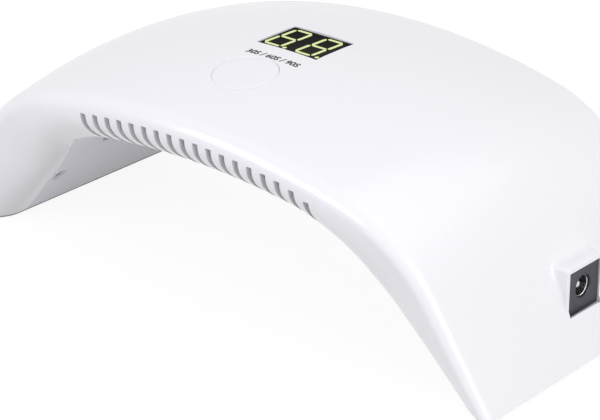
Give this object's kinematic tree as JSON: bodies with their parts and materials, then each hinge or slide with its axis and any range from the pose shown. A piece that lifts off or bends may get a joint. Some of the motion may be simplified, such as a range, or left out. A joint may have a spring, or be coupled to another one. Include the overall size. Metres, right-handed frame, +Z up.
{
  "type": "uv curing lamp",
  "caption": "White arch-shaped ultraviolet LED curing lamp with an open tunnel, a two-digit timer window, a round push button, front and rear air vents and a side power socket.",
  "frame": {"origin": "on the table under the middle of the arch", "axes": "+X along the span towards the leg with the power socket, +Y from the button end to the back rim, +Z up"},
  "size_m": [0.19, 0.1, 0.0637],
  "materials": {
    "case": "glossy white, faintly cool",
    "liner": "glossy pale grey-white",
    "button": "glossy white",
    "foot_rubber": "matt grey",
    "circuit_board": "green solder mask",
    "white_board": "white solder mask",
    "connector": "off-white moulding",
    "display_window": "glossy black filter",
    "jack_plastic": "satin blue-black",
    "pin_metal": "plated",
    "contact_metal": "plain",
    "led_lens": "clear dome over a yellow phosphor",
    "sensor": "dark infrared lens",
    "screw_steel": "plated",
    "red_lead": "red insulation",
    "dark_lead": "black insulation",
    "black_plastic": "black moulding"
  },
  "bodies": {
    "case": {"board_screw_1": "screw_steel", "board_screw_2": "screw_steel", "board_screw_3": "screw_steel", "board_screw_4": "screw_steel", "capacitor": "black_plastic", "case_screw_1": "screw_steel", "case_screw_2": "screw_steel", "case_screw_3": "screw_steel", "case_screw_4": "screw_steel", "controller_ic": "black_plastic", "display_module": "black_plastic", "display_window": "display_window", "foot_strip_left": "foot_rubber", "foot_strip_right": "foot_rubber", "hand_sensor_emitter": "sensor", "hand_sensor_receiver": "sensor", "inductor": "black_plastic", "inner_cover": "liner", "jack_body": "jack_plastic", "jack_lug_negative": "contact_metal", "jack_lug_positive": "contact_metal", "jack_pin": "pin_metal", "lead_led_left": "dark_lead", "lead_led_right": "dark_lead", "lead_negative": "dark_lead", "lead_positive": "red_lead", "led_01": "led_lens", "led_02": "led_lens", "led_03": "led_lens", "led_04": "led_lens", "led_05": "led_lens", "led_06": "led_lens", "led_07": "led_lens", "led_08": "led_lens", "led_09": "led_lens", "led_10": "led_lens", "led_11": "led_lens", "led_12": "led_lens", "led_board_left": "white_board", "led_board_right": "white_board", "led_board_top": "white_board", "led_connector_left": "connector", "led_connector_right": "connector", "main_board": "circuit_board", "power_connector": "connector", "power_transistor": "black_plastic", "tact_switch": "black_plastic", "top_shell": "case"},
    "button": {"button_cap": "button"},
    "plunger": {"tact_plunger": "contact_metal"}
  },
  "joints": [
    {"name": "button_press", "type": "slide", "parent": "case", "child": "button", "axis": [0, 0, -1], "range_m": [0, 0.0006], "stiffness_N_per_m": 400, "springref_m": -0.0006},
    {"name": "plunger_press", "type": "slide", "parent": "case", "child": "plunger", "axis": [0, 0, -1], "range_m": [0, 0.0006]}
  ],
  "couplings": [
    {"joint": "plunger_press", "follows": "button_press", "ratio": 1}
  ]
}
